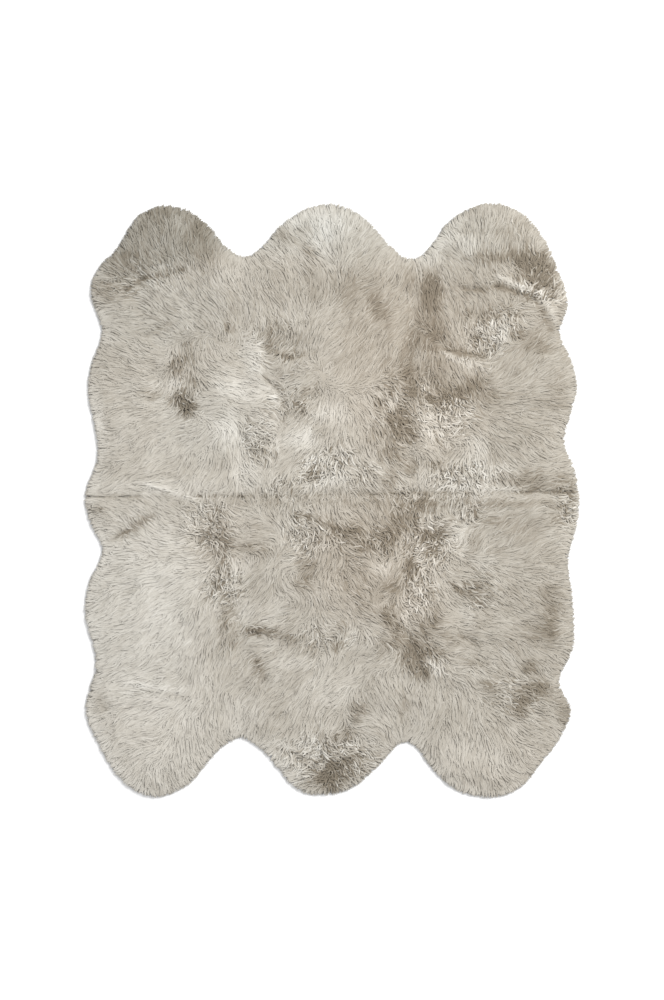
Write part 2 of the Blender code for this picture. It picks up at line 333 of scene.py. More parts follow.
PATCHES = tuple(
    Patch(*row)
    for row in (
        # tousled wool
        (-405, -95, 105, 78, 0.4, 0.9, -65), (-362, -280, 72, 76, 0.4, 0.9), (-92, -125, 66, 84, 0.3, 0.9),
        (10, -130, 50, 46, 0.1, 0.7), (170, -150, 84, 56, 0.1, 0.7, -40), (315, -150, 104, 105, 0.25, 0.9),
        (290, -315, 64, 112, 0.35, 0.8), (305, -540, 84, 56, 0, 0.6), (-10, -860, 165, 100, 0.4, 0.8),
        (-20, 106, 120, 56, 0.4, 0.9, 25), (120, 85, 44, 42, 0.1, 0.7), (-165, 38, 72, 40, 0.35, 0.6),
        (430, 65, 115, 62, 0.5, 0.9), (250, 0, 56, 50, 0.1, 0.8), (452, -40, 50, 52, 0.1, 0.7),
        (795, -10, 50, 84, 0.4, 0.9), (390, 280, 84, 92, 0.5, 0.9), (-242, 195, 60, 80, 0.5, 0.8, 20),
        (505, 535, 72, 76, 0.38, 0.9), (592, 590, 56, 60, 0.35, 0.7), (705, 700, 92, 46, 0.3, 0.9, -10),
        (-160, 325, 66, 72, 0.25, 0.5), (-180, 530, 100, 78, 0.05, 0.4), (250, 310, 110, 150, 0.05, 0.5),
        (-620, 745, 180, 56, 0.05, 0.35, 12), (-40, -455, 110, 44, 0.05, 0.5),
        (490, -300, 64, 64, 0.05, 0.6), (605, -650, 84, 74, 0.2, 0.5, -30),
        # top left
        (-560, 230, 260, 220, 0.18), (-610, 865, 215, 120, -0.58, 0.05, 22), (-560, 968, 110, 28, -0.3),
        (-495, 870, 42, 90, 0.22), (-430, 860, 90, 110, -0.5, 0, -30), (-725, 675, 70, 34, -0.35, 0.1, 15),
        (-492, 318, 54, 32, -0.9, 1, -50), (-515, 438, 28, 42, -0.5, 0.5), (-468, 450, 24, 70, -0.3, 0.2),
        (-608, 350, 36, 18, -0.5, 0.3, -10), (-338, 566, 19, 21, -0.7, 0.5),
        (-290, 370, 115, 42, 0.5, 0, -15), (-345, 225, 55, 62, 0.45), (-285, 80, 55, 55, 0.5),
        (-800, 180, 45, 210, 0.35), (-560, 44, 250, 26, 0.3), (-465, 378, 24, 32, -0.4, 0.3),
        (-520, 372, 26, 34, 0.4), (-770, 705, 32, 32, -0.45), (-535, 335, 20, 26, -0.45, 0.3, -30),
        (-325, 655, 32, 70, -0.3),
        # top middle
        (-22, 868, 40, 60, 0.4), (-92, 898, 26, 26, -0.4), (-150, 868, 50, 20, -0.4, 0, -25),
        (-75, 820, 34, 18, -0.45, 0.1, -30), (182, 455, 28, 34, -0.4, 0.1), (140, 220, 30, 32, -0.35, 0.2),
        (-60, 130, 44, 24, 0.35), (-48, 226, 24, 22, -0.4, 0.2), (-212, 180, 18, 34, -0.4, 0.2),
        (-60, 935, 140, 50, 0.35), (-90, 700, 180, 75, -0.25), (120, 620, 120, 230, -0.3, 0.05),
        (155, 635, 32, 66, -0.5, 0.1, 35), (-208, 566, 18, 34, -0.5, 0.5), (-205, 500, 24, 22, -0.4, 0.5),
        (-145, 474, 56, 14, -0.5, 0.8), (-115, 545, 90, 45, -0.25), (-262, 480, 44, 70, 0.6),
        (-118, 306, 46, 30, -0.35, 0.7, 10), (-98, 352, 50, 22, -0.35, 0.3, 10),
        (-95, 205, 62, 40, 0.7, 0, 10), (5, 286, 62, 32, 0.5), (-245, 155, 42, 26, -0.35, 0.3),
        (-62, 84, 32, 22, -0.7, 0.7, -10), (-136, 50, 46, 24, -0.65, 0.4, 15), (20, 58, 62, 32, 0.45),
        (245, 450, 30, 56, -0.6, 0.2), (200, 392, 26, 36, -0.4, 0.2), (163, 312, 22, 30, -0.65, 0.6),
        (240, 262, 50, 62, -0.75, 0.7, 25), (172, 150, 32, 30, -0.4, 0.3),
        (200, 190, 32, 80, -0.45, 0.3, 10), (262, 108, 20, 26, -0.55, 0.3), (195, 72, 28, 42, -0.4, 0.2),
        # top right
        (515, 606, 36, 20, -0.55, 0.3, -15), (452, 850, 38, 32, 0.4), (266, 352, 26, 34, -0.4, 0.3),
        (702, 500, 46, 20, -0.4), (430, 348, 30, 22, -0.35, 0.3), (540, 520, 290, 520, -0.27),
        (258, 520, 32, 42, -0.4, 0.2), (262, 215, 26, 30, -0.45, 0.4), (645, 62, 76, 38, -0.42, 0.2),
        (352, 376, 34, 26, -0.5, 0.3), (520, 342, 100, 22, -0.3), (262, 740, 30, 60, -0.35),
        (375, 870, 32, 75, 0.4, 0, -40), (330, 690, 38, 60, -0.75, 0.3, -5), (310, 600, 52, 110, -0.4, 0.1),
        (352, 555, 30, 34, -0.4, 0.2), (400, 490, 115, 13, -0.6, 0, -8), (300, 342, 62, 18, -0.6, 0.6, -18),
        (262, 395, 34, 34, -0.4, 0.3), (372, 330, 46, 28, -0.85, 0.7, 12),
        (440, 372, 82, 28, -0.5, 0.2, 14), (330, 430, 62, 40, -0.35), (425, 464, 74, 13, 0.6, 0, -18),
        (495, 515, 27, 16, -0.6, 0.8, -15), (562, 558, 40, 36, 0.5), (452, 616, 34, 12, -0.5, 0.5, -10),
        (612, 548, 30, 20, -0.5, 0.6), (665, 525, 36, 24, -0.4, 0.2), (668, 780, 76, 48, -0.85, 0.7, -20),
        (650, 725, 56, 16, -0.75, 0.7, -8), (720, 712, 48, 30, -0.55, 0.2, -25),
        (545, 803, 90, 18, -0.5, 0.3, 3), (625, 890, 60, 60, -0.1, 0.1), (300, 795, 80, 26, 0.3),
        (290, 250, 42, 58, 0.5, 0, 20), (476, 172, 46, 50, 0.55), (352, 112, 46, 18, -0.5, 0.3, -15),
        (525, 100, 75, 22, 0.45), (700, 30, 90, 14, -0.2, 0.2), (770, 48, 40, 40, -0.5, 0.2),
        (745, 350, 40, 66, -0.3),
        # along the seam: painted shade in its groove
        (-60, -8, 320, 12, -0.4), (500, -12, 330, 14, -0.45), (300, -14, 42, 28, -0.7, 0.4),
        # bottom left
        (-640, -330, 250, 290, 0.55), (-620, -760, 280, 230, 0.5), (-790, -30, 40, 15, -0.5, 0.2),
        (-655, -86, 76, 15, -0.65, 0.2, 33), (-390, -60, 60, 42, -0.2, 0.4), (-400, -150, 74, 56, -0.6),
        (-362, -232, 20, 30, -0.5, 0.7), (-370, -275, 30, 18, -0.6, 0.6), (-355, -322, 24, 28, -0.45, 0.7),
        (-400, -300, 34, 46, -0.4), (-345, -440, 38, 85, -0.35, 0.3), (-600, -558, 120, 46, -0.2),
        (-775, -672, 26, 48, -0.4, 0, 15), (-345, -370, 22, 34, -0.4, 0.2),
        # bottom middle
        (-298, -218, 44, 42, 0.4), (-292, -388, 34, 56, 0.4), (-185, -375, 30, 52, 0.35, 0, -25),
        (-60, -490, 30, 20, -0.35, 0.1), (52, -452, 28, 46, 0.35), (-70, -812, 56, 26, 0.4, 0, -32),
        (160, -492, 24, 34, -0.35, 0.1), (46, -418, 20, 26, -0.45, 0.2),
        (-235, -165, 80, 22, -0.3, 0.2, -3), (-92, -275, 36, 38, -0.45, 0.3),
        (-250, -434, 58, 17, -0.65, 0.8, -6), (-150, -450, 72, 13, -0.5, 0.4, -12),
        (18, -480, 28, 24, -0.75, 0.4), (-120, -540, 90, 22, 0.4, 0, -4), (-290, -705, 60, 70, 0.3),
        (-244, -560, 14, 54, -0.55, 0.4, 22), (-62, -68, 82, 14, -0.6, 0.4, -22),
        (-85, -215, 38, 20, -0.4, 0.4), (120, -200, 190, 190, -0.3, 0.15),
        (60, -112, 70, 26, -0.45, 0.4, -10), (186, -118, 42, 24, -0.6, 0.7), (102, -158, 24, 24, -0.5, 0.6),
        (165, -225, 36, 18, 0.55), (240, -66, 50, 50, -0.7, 0.4), (262, -232, 26, 46, -0.8, 0.7),
        (88, -90, 32, 26, -0.4, 0.2, -30), (205, -285, 44, 32, -0.4, 0.2), (182, -392, 32, 34, -0.6, 0.5),
        (217, -420, 26, 22, -0.65, 0.5), (212, -465, 38, 34, -0.6, 0.3), (-10, -630, 90, 62, 0.3),
        (92, -705, 28, 42, -0.5, 0.2, -10), (24, -795, 60, 36, -0.45, 0.4, 15),
        (-160, -850, 85, 50, 0.35, 0, -35), (-84, -884, 44, 20, -0.4, 0.5, -12), (0, -915, 44, 60, -1.1, 1),
        (64, -856, 56, 26, -0.9, 0.6, 15), (-58, -935, 36, 28, -0.55, 0.6), (80, -915, 34, 30, -0.4, 0.3),
        # bottom right
        (350, -558, 34, 30, 0.4), (475, -538, 38, 14, -0.45, 0.2), (590, -532, 20, 46, 0.35, 0, 20),
        (482, -580, 34, 16, 0.3), (240, -682, 20, 46, -0.4), (535, -72, 44, 18, -0.4, 0.1),
        (470, -132, 30, 18, -0.4, 0.2), (505, -202, 40, 34, 0.35), (457, -390, 28, 46, 0.35),
        (400, -465, 40, 20, -0.4, 0.1, -30), (292, -452, 22, 32, -0.35, 0.3), (600, -380, 240, 360, -0.2),
        (335, -120, 44, 26, -0.95, 0.8, 8), (332, -170, 28, 16, -0.8, 0.8, 35), (426, -130, 24, 60, 0.5),
        (415, -292, 16, 14, -0.9, 0.8), (470, -322, 38, 32, -0.35, 0.2), (320, -420, 46, 50, -0.5, 0.2),
        (340, -350, 22, 60, -0.4, 0, 15), (268, -520, 42, 60, -0.65, 0.6, -10),
        (328, -505, 34, 26, -0.45, 0.3), (300, -575, 32, 24, -0.45, 0.5), (622, -708, 36, 22, -0.4, 0.3),
        (518, -612, 24, 18, -0.55, 0.4), (712, -632, 34, 26, -0.45, 0.3, -40),
        (650, -648, 74, 32, -0.85, 0.5, 50), (655, -556, 26, 22, -0.55, 0.5),
        (725, -410, 30, 62, -0.45, 0.1), (722, -335, 56, 60, -0.35), (690, -460, 52, 40, -0.3),
        (640, -90, 80, 50, -0.25), (800, 5, 26, 36, -0.4, 0.2), (762, -52, 32, 40, -0.5, 0.2),
        (780, -690, 32, 66, -0.5), (470, -860, 125, 70, 0.25),
    )
)


class Cast(NamedTuple):
    """An oval of wool that is cooler, down to -1, or warmer, up to 1, than the rest."""

    x: float
    y: float
    half_length: float
    half_width: float
    warmth: float
    turn: float = 0.0


CASTS = tuple(
    Cast(*row)
    for row in (
        (-600, 880, 260, 130, -1.0, 15), (-560, 640, 240, 140, -0.35), (-250, 900, 300, 90, -0.5),
        (60, 900, 160, 120, -0.45), (400, 880, 200, 120, -0.4), (-420, 250, 160, 120, -0.3),
        (250, 430, 280, 330, 0.75), (150, -190, 260, 220, 0.75), (-350, -130, 140, 120, 0.35),
        (650, 660, 160, 140, 0.2), (-650, -420, 220, 260, -0.2), (600, -880, 300, 120, 0.2),
        (300, -430, 140, 130, 0.35),
    )
)


class Crease(NamedTuple):
    """A line where the wool parts, with its width and depth. A negative depth is a raised fold. The depth
    also sets painted shade along a crease, and painted light along a fold.
    """

    x0: float
    y0: float
    x1: float
    y1: float
    width: float
    depth: float


CREASES = tuple(
    Crease(*row)
    for row in (
        (-690, 688, -632, 732, 5, 8), (-632, 732, -560, 744, 5, 10), (-560, 744, -490, 766, 5, 9),
        (-750, 715, -690, 724, 5, 3), (-700, 805, -640, 815, 8, 4), (-618, 542, -525, 590, 7, 3),
        (-212, 508, -146, 468, 6, 4), (-146, 468, -60, 488, 6, 4), (-224, 406, -196, 372, 5, 4),
        (-178, 362, -163, 322, 5, 4), (-163, 322, -158, 262, 5, 3), (-190, 190, -185, 130, 6, 2),
        (-732, -133, -595, -53, 7, 4), (-270, -432, -150, -468, 7, 3), (-190, -822, -92, -862, 8, 5),
        (-610, -632, -485, -655, 9, 3), (-680, -604, -500, -636, 9, -2), (-640, -477, -465, -470, 8, -2),
        (385, 470, 465, 464, 9, -2), (465, 464, 535, 427, 9, -2), (-778, -655, -738, -708, 10, 2),
        (405, 892, 560, 888, 5, 3), (430, 700, 505, 694, 7, 5), (505, 694, 548, 708, 7, 6),
        (548, 708, 612, 688, 7, 8), (612, 688, 662, 668, 7, 8), (662, 668, 696, 628, 7, 6),
        (696, 628, 724, 565, 7, 6), (558, 655, 585, 618, 5, 4), (585, 616, 632, 614, 5, 4),
        (90, 76, -6, 23, 8, 4), (430, -452, 474, -472, 8, 5), (250, -440, 312, -585, 14, 4),
        (-618, 50, -460, 4, 10, -5), (556, 742, 620, 706, 10, -6), (620, 706, 690, 684, 10, -6),
        (694, 682, 742, 596, 10, -5), (472, 37, 626, 36, 9, -4), (-825, 10, -640, 11, 5, 4),
        (-460, 11, -303, 12, 5, 6), (-303, 12, 252, 22, 5, 6), (252, 22, 470, 24, 5, 6),
        (592, 26, 822, 28, 5, 4),
    )
)


# Small helpers


def unit(vectors):
    return vectors / np.maximum(np.linalg.norm(vectors, axis=-1, keepdims=True), TINY)


def turned(ways, angles):
    """Level directions turned by angles in radians."""
    cos, sin = np.cos(angles), np.sin(angles)
    return np.stack([ways[:, 0] * cos - ways[:, 1] * sin, ways[:, 0] * sin + ways[:, 1] * cos], axis=1)


def beside(ways):
    """Level directions turned a quarter to the left."""
    return np.stack([-ways[:, 1], ways[:, 0]], axis=1)


def opened(pair, openness):
    """A value for combed wool, and what openness adds to it."""
    combed, added = pair
    return combed + added * openness


def smooth_step(share):
    share = np.clip(share, 0.0, 1.0)
    return share * share * (3 - 2 * share)


def tree_of(places):
    tree = kdtree.KDTree(len(places))
    for index, (x, y) in enumerate(places):
        tree.insert((x, y, 0.0), index)
    tree.balance()
    return tree


def distances(tree, places):
    return np.array([tree.find((x, y, 0.0))[2] for x, y in places])


def nearest(tree, places):
    return np.array([tree.find((x, y, 0.0))[1] for x, y in places])


# Outlines


def triangles_of(obj):
    """The corners of an object's triangles, as triangle by corner by axis."""
    mesh = obj.data
    places = np.empty(len(mesh.vertices) * 3)
    mesh.vertices.foreach_get("co", places)
    mesh.calc_loop_triangles()
    corners = np.empty(len(mesh.loop_triangles) * 3, int)
    mesh.loop_triangles.foreach_get("vertices", corners)
    return places.reshape(-1, 3)[corners].reshape(-1, 3, 3)


def flat_outline(triangles):
    """The edge of a pelt's flat underside, anticlockwise as seen from above."""
    flat = triangles[(triangles[:, :, 2] < FLAT_HEIGHT).all(axis=1)]
    edges = set()
    for corners in np.round(flat[:, :, :2], 6):
        a, b, c = (tuple(corner) for corner in corners)
        edges |= {(a, b), (b, c), (c, a)}
    follows = {end: start for start, end in edges if (end, start) not in edges}
    first = min(follows)
    loop, place = [first], follows[first]
    while place != first:
        loop.append(place)
        place = follows[place]
    return np.array(loop)


def straight_steps(loop, pitch):
    """Points along a closed loop's straight edges, at most a pitch apart."""
    points = []
    for start, end in zip(loop, np.roll(loop, -1, axis=0)):
        count = max(1, int(np.ceil(np.linalg.norm(end - start) / pitch)))
        points += [start + (end - start) * step / count for step in range(count)]
    return np.array(points)


def rounded(loop, sewn, steps):
    """A smooth curve through a loop's points, straight where both ends of an edge are sewn."""
    points, on_seam = [], []
    count = len(loop)
    for index in range(count):
        before, start, end, after = (loop[(index + step) % count] for step in (-1, 0, 1, 2))
        starts_sewn, ends_sewn = sewn[index], sewn[(index + 1) % count]
        if starts_sewn:
            before = 2 * start - end
        if ends_sewn:
            after = 2 * end - start
        for share in np.arange(steps) / steps:
            leave, arrive = (end - before) / 2, (after - start) / 2
            a = 2 * (start - end) + leave + arrive
            b = 3 * (end - start) - 2 * leave - arrive
            points.append(start + share * (leave + share * (b + share * a)))
            on_seam.append(starts_sewn and (ends_sewn or share == 0))
    return np.array(points), np.array(on_seam)


def inset(loop, distance):
    """The loop moved in by a distance."""
    before, after = unit(loop - np.roll(loop, 1, axis=0)), unit(np.roll(loop, -1, axis=0) - loop)
    normal = unit(beside(before + after))
    return loop + normal * (distance / np.maximum((normal * beside(after)).sum(axis=1), SHARPEST))[:, None]


def inside(loop, places):
    """Which places lie inside a closed loop."""
    x, y = places.T
    crossings = np.zeros(len(places), int)
    for (x0, y0), (x1, y1) in zip(loop, np.roll(loop, -1, axis=0)):
        if y0 != y1:
            crosses = (y0 > y) != (y1 > y)
            crossings += crosses & (x < x0 + (y - y0) * (x1 - x0) / (y1 - y0))
    return crossings % 2 == 1


def even_net(loop, pitch):
    """Points of an even triangular net over a loop's box."""
    low, high = loop.min(axis=0), loop.max(axis=0)
    row_pitch = pitch * np.sqrt(0.75)
    rows = np.arange(int((high[1] - low[1]) / row_pitch) + 2)
    columns = np.arange(int((high[0] - low[0]) / pitch) + 2)
    across, along = np.meshgrid(columns, rows)
    places = np.stack([(across - along % 2 / 2) * pitch, along * row_pitch], axis=2)
    return places.reshape(-1, 2) + low


class Chart:
    """A square net over the whole rug. Values known at its points are read anywhere between."""

    def __init__(self, low, high):
        self.low = np.array(low[:2]) - CHART_MARGIN
        span = np.array(high[:2]) + CHART_MARGIN - self.low
        self.shape = tuple(np.ceil(span / CHART_PITCH).astype(int) + 1)

    def points(self):
        across, along = np.meshgrid(*(np.arange(count) for count in self.shape), indexing="ij")
        return self.low + np.stack([across.ravel(), along.ravel()], axis=1) * CHART_PITCH

    def read(self, values, places):
        """The value at each place, from the four points of the net around it."""
        table = values.reshape(*self.shape, -1)
        at = (places - self.low) / CHART_PITCH
        cell = np.clip(at.astype(int), 0, np.array(self.shape) - 2)
        share = np.clip(at - cell, 0.0, 1.0)
        (i, j), (u, v) = cell.T, share.T[:, :, None]
        low = table[i, j] * (1 - u) + table[i + 1, j] * u
        high = table[i, j + 1] * (1 - u) + table[i + 1, j + 1] * u
        found = low * (1 - v) + high * v
        return found[:, 0] if table.shape[2] == 1 else found


class Hills:
    """Smooth random hills between -1 and 1, the same at every run."""

    SIDE = 97

    def __init__(self, seed):
        self.heights = np.random.default_rng(seed).uniform(-1, 1, (self.SIDE, self.SIDE))

    def at(self, places, size):
        at = places / size
        cell = np.floor(at).astype(int)
        u, v = smooth_step(at - cell).T
        i, j = cell.T % self.SIDE
        k, m = (i + 1) % self.SIDE, (j + 1) % self.SIDE
        low = self.heights[i, j] * (1 - u) + self.heights[k, j] * u
        high = self.heights[i, m] * (1 - u) + self.heights[k, m] * u
        return low * (1 - v) + high * v


# How the wool lies

BEND, WAVER, RELIEF, EDGES, SHADE = (Hills(SEED + number) for number in range(5))

# Hills, their size and how far they bend the combing, in radians
BENDS = ((BEND, 0.085, 0.3), (WAVER, 0.035, 0.35))

# Hills, their size and how far they move the edges of the patches
WANDERS = ((EDGES, 0.028, 0.009), (WAVER, 0.011, 0.005))


def crease_effects(places):
    """Near the creases: how deep the wool lies, the way it is pushed aside, and its painted shade, which is
    darker in a crease and paler on a raised fold.
    """
    depth, dark = np.zeros(len(places)), np.zeros(len(places))
    push = np.zeros((len(places), 2))
    for row in CREASES:
        start, end = np.array([row.x0, row.y0]) * MM, np.array([row.x1, row.y1]) * MM
        leg = end - start
        share = np.clip((places - start) @ leg / (leg @ leg), 0, 1)
        away = places - (start + share[:, None] * leg)
        near = np.exp(-((np.linalg.norm(away, axis=1) / (row.width * MM)) ** 2))
        depth += row.depth * MM * near
        push += unit(away) * near[:, None] * (1.0 if row.depth > 0 else FOLD_PUSH)
        # painted shade: darker along a crease, paler (painted light) along a raised fold
        dark += near * row.depth / CREASE_SHADE_DEPTH
    return depth, push, dark


def oval_weights(rows, places):
    """How far each place lies within each oval, from 0 outside to 1 well inside, row by row."""
    for row in rows:
        turn = np.radians(row.turn)
        away = places - np.array([row.x, row.y])
        along = (away[:, 0] * np.cos(turn) + away[:, 1] * np.sin(turn)) / row.half_length
        across = (away[:, 1] * np.cos(turn) - away[:, 0] * np.sin(turn)) / row.half_width
        yield row, 1 - smooth_step((np.hypot(along, across) - OVAL_CORE) / OVAL_FADE)


def warmth_at(places):
    return sum(weight * row.warmth for row, weight in oval_weights(CASTS, places / MM))


def patch_effects(places):
    """How open the wool lies and its tone at each place, from the tables."""
    wandering = places
    for hills, size, reach in WANDERS:
        shift = np.stack([hills.at(places, size), hills.at(places[:, ::-1], size)], axis=1)
        wandering = wandering + shift * reach
    openness, tone = np.zeros(len(places)), np.zeros(len(places))
    for row, weight in oval_weights(PATCHES, wandering / MM):
        openness = np.maximum(openness, weight * row.openness)
        # the tone is partly own colour, partly painted light and shade
        tone += weight * row.tone
    broad, fine = SHADE.at(places, BROAD_MOTTLE_SIZE), SHADE.at(places[:, ::-1], FINE_MOTTLE_SIZE)
    tone += BROAD_MOTTLE * broad + FINE_MOTTLE * fine
    return openness, np.clip(tone, *TONE_LIMITS)


class Wool:
    """The shape and lie of the wool over the whole rug."""

    def __init__(self, nodes, low, high):
        self.chart = Chart(low, high)
        triangles = {name: triangles_of(node) for name, node in nodes.items()}
        coarse = {name: flat_outline(corners) for name, corners in triangles.items()}
        self.outlines, self.sewn = {}, {}
        for name, loop in coarse.items():
            others = [straight_steps(other, SEAM_STEP) for key, other in coarse.items() if key != name]
            sewn = distances(tree_of(np.concatenate(others)), loop) < SEWN_GAP
            self.outlines[name], self.sewn[name] = rounded(loop, sewn, CURVE_STEPS)
        points = self.chart.points()
        self.from_edge = self.signed_distance(points)
        self.heights = self.top_heights(points, np.concatenate(list(triangles.values())))
        self.slopes = self.slope_of(self.heights)
        self.outward = unit(-self.slope_of(self.from_edge))

    def free_edge(self, pelt):
        """The legs of a pelt's outline that aren't sewn, as starts and ends."""
        loop, sewn = self.outlines[pelt], self.sewn[pelt]
        free = ~(sewn & np.roll(sewn, -1))
        return loop[free], np.roll(loop, -1, axis=0)[free]

    def signed_distance(self, points):
        """How far each point is from the lock tips at the rim, positive towards the middle."""
        edge = []
        for pelt in self.outlines:
            starts, ends = self.free_edge(pelt)
            edge += [starts + (ends - starts) * share for share in THIRDS]
        away = distances(tree_of(np.concatenate(edge)), points)
        within = np.zeros(len(points), bool)
        for loop in self.outlines.values():
            within |= inside(inset(loop, -SEAM_MARGIN), points)
        return np.where(within, away, -away) + OVERHANG

    def top_heights(self, points, triangles):
        """The height of the wool, read from the solids and rounded down to the floor at the rim."""
        faces = np.arange(len(triangles) * 3).reshape(-1, 3)
        tree = BVHTree.FromPolygons(triangles.reshape(-1, 3).tolist(), faces.tolist())
        heights = np.full(len(points), EDGE_TOP)
        for index in np.flatnonzero(self.from_edge > OVERHANG + SEAM_MARGIN):
            for aside in (0.0, SEAM_MARGIN):
                start = Vector((points[index][0] + aside, points[index][1] + aside, RAY_HEIGHT))
                hit = tree.ray_cast(start, Vector((0.0, 0.0, -1.0)))[0]
                if hit is not None and hit.z > LEAST_TOP:
                    heights[index] = hit.z
                    break
        heights = self.softened(heights)
        heights -= crease_effects(points)[0]
        share = np.clip(self.from_edge / EDGE_FALL, 0, 1)
        return RIM_TIP + (heights - RIM_TIP) * np.sqrt(1 - (1 - share) ** 2)

    def softened(self, values, rounds=3):
        table = values.reshape(self.chart.shape)
        for _ in range(rounds):
            for axis in (0, 1):
                table = (np.roll(table, 1, axis) + 2 * table + np.roll(table, -1, axis)) / 4
        return table.ravel()

    def slope_of(self, values):
        table = values.reshape(self.chart.shape)
        return np.stack(np.gradient(table, CHART_PITCH), axis=2).reshape(-1, 2)

    def top(self, places):
        return self.chart.read(self.heights, places)

    def facing(self, places):
        """The way in which the wool's surface faces."""
        slope = self.chart.read(self.slopes, places)
        within = smooth_step((self.rim(places) - OVERHANG) / EDGE_FALL)[:, None]
        steepest = RIM_LIGHT_SLOPE + (LIGHT_SLOPE - RIM_LIGHT_SLOPE) * within
        steep = np.maximum(np.linalg.norm(slope, axis=1, keepdims=True) / steepest, 1.0)
        return unit(np.column_stack([-slope / steep, np.ones(len(places))]))

    def rim(self, places):
        return self.chart.read(self.from_edge, places)

    def painted_rim_light(self, places):
        """How much painted light makes the wool paler by the rim on the rug's lower left side, against the
        shade that the lamp leaves there.
        """
        towards = np.maximum(unit(self.chart.read(self.outward, places)) @ PAINTED_LIGHT_SIDE, 0.0)
        return PAINTED_RIM_LIGHT * towards * smooth_step(1 - (self.rim(places) - OVERHANG / 2) / PAINTED_LIGHT_REACH)

    def way(self, pelt, places):
        """The level way in which the tips point."""
        strokes = Stroke(*np.array(COMB[pelt], float).T)
        spots = np.column_stack([strokes.x, strokes.y])
        away = np.linalg.norm(places[:, None] - spots[None] * MM, axis=2)
        pull = 1 / (away**2 + COMB_SOFTNESS**2) ** 2
        heading = np.radians(strokes.heading)
        combed = unit(pull @ np.stack([np.cos(heading), np.sin(heading)], axis=1))
        outward = unit(self.chart.read(self.outward, places))
        at_rim = RIM_PULL * smooth_step((RIM_COMB - self.rim(places)) / RIM_COMB)[:, None]
        combed = unit(combed * (1 - at_rim) + outward * at_rim)
        combed = unit(combed + CREASE_PUSH * crease_effects(places)[1])
        return turned(combed, sum(angle * hills.at(places, size) for hills, size, angle in BENDS))


# Growing the locks


class Locks(NamedTuple):
    """Many locks as arrays. stations holds each lock's centreline from root to tip."""

    stations: np.ndarray
    widths: np.ndarray
    roll: np.ndarray
    tones: np.ndarray


def joined(groups):
    return Locks(*(np.concatenate(parts) for parts in zip(*groups)))


def scattered(loop, pitch, chance):
    """Points of a shaken triangular net inside a loop."""
    places = even_net(loop, pitch)
    places = places + chance.uniform(-SHAKE, SHAKE, places.shape) * pitch
    return places[inside(loop, places)]


def flowing(wool, pelt, roots, reach, stray):
    """Level paths that follow the combing from each root, one point for each station."""
    path = [roots]
    for share in np.diff(STATIONS):
        path.append(path[-1] + turned(wool.way(pelt, path[-1]), stray) * (reach * share)[:, None])
    return np.stack(path, axis=1)


def stations_tone(wool, level, chance):
    """The tone of the wool at every station of level paths, streaked along them."""
    drag = chance.normal(0, TONE_DRAG, len(level))[:, None] * unit(level[:, -1] - level[:, 0])
    tone = patch_effects((level + drag[:, None]).reshape(-1, 2))[1]
    places = level.reshape(-1, 2)
    # The tone, less the painted shade of the creases, plus the painted light by the rim on the lower left
    # side
    return (tone - crease_effects(places)[2] + wool.painted_rim_light(places)).reshape(len(level), -1)


def lock_tones(tone, openness, chance):
    """The tone at each station: darker towards the root, and most so where the wool lies open, partly the
    browner root wool and partly painted shade deep in the pile.
    """
    root = (ROOT_DARK + OPEN_ROOT_DARK * openness)[:, None] * (1 - STATIONS) ** 2
    uneven = (LOCK_TONES + OPEN_LOCK_TONES * openness) * chance.normal(0, 1, len(tone))
    return tone + uneven[:, None] - root


def top_locks(wool, pelt, roots, clumps, chance, standing):
    """Locks that lie over a pelt from the given roots, gathered in clumps, or stand up short."""
    count = len(roots)
    clump = nearest(tree_of(clumps), roots)
    openness = patch_effects(roots + wool.way(pelt, roots) * LOCK_LENGTH / 2)[0]
    by_clump = chance.normal(0, 1, (len(clumps), 3))[clump]

    stray = opened(CLUMP_STRAY, openness) * by_clump[:, 0]
    stray += opened(LOCK_STRAY, openness) * chance.normal(0, 1, count)
    reach = LOCK_LENGTH * chance.uniform(*REACHES, count) * (1 - (1 - OPEN_REACH) * openness)
    if standing:
        stray += chance.normal(0, STANDING_STRAY, count)
        reach *= STANDING_REACH
        roots = roots - turned(wool.way(pelt, roots), stray) * (reach / 2)[:, None]
    level = flowing(wool, pelt, roots, reach, stray)
    before, after = wool.rim(roots), wool.rim(level[:, -1])
    least = chance.uniform(*RIM_GAPS, count)
    fits = np.where(after < least, (before - least) / np.maximum(before - after, LEAST_DROP), 1.0)
    fits = np.clip(fits, LEAST_REACH / LOCK_LENGTH, 1.0)
    level = roots[:, None] + (level - roots[:, None]) * fits[:, None, None]

    side = beside(unit(level[:, -1] - roots))
    swing = CLUMP_SWING * by_clump[:, 1] + LOCK_SWING * chance.normal(0, 1, count)
    swing *= opened(SWING, openness) * fits
    phase = 2 * np.pi * by_clump[:, 2] + chance.uniform(*PHASES, count)
    waves = np.sin(2 * np.pi * WAVES * STATIONS + phase[:, None]) * STATIONS
    level = level + side[:, None] * (swing[:, None] * waves)[..., None]
    gather = opened(GATHER, openness) * fits * (not standing)
    level = level - (roots - clumps[clump])[:, None] * (gather[:, None] * STATIONS**2)[..., None]

    tone = stations_tone(wool, level, chance)
    top = wool.top(level.reshape(-1, 2)).reshape(count, -1)
    sink = LOCK_ROOT_DEPTH * (1 - STATIONS) ** SINK_POWER
    lift = CLUMP_RELIEF * (RELIEF.at(roots, RELIEF_SIZE) + CLUMP_LIFT * by_clump[:, 0])
    lift += chance.normal(0, LOCK_RELIEF, count)
    lift += openness * chance.uniform(*OPEN_LIFTS, count)
    height = top - sink + lift[:, None] * np.sqrt(STATIONS)
    height[:, -1] -= chance.uniform(*TIP_DROPS, count)
    width = LOCK_WIDTH * chance.uniform(*WIDTHS, count) * (1 + OPEN_WIDTH * openness)
    if standing:
        width *= STANDING_WIDTH
    return Locks(
        np.concatenate([level, np.maximum(height, LEAST_HEIGHT)[..., None]], axis=2),
        width[:, None] * STATION_WIDTHS,
        chance.normal(0, LOCK_ROLL, count),
        lock_tones(tone, openness, chance),
    )


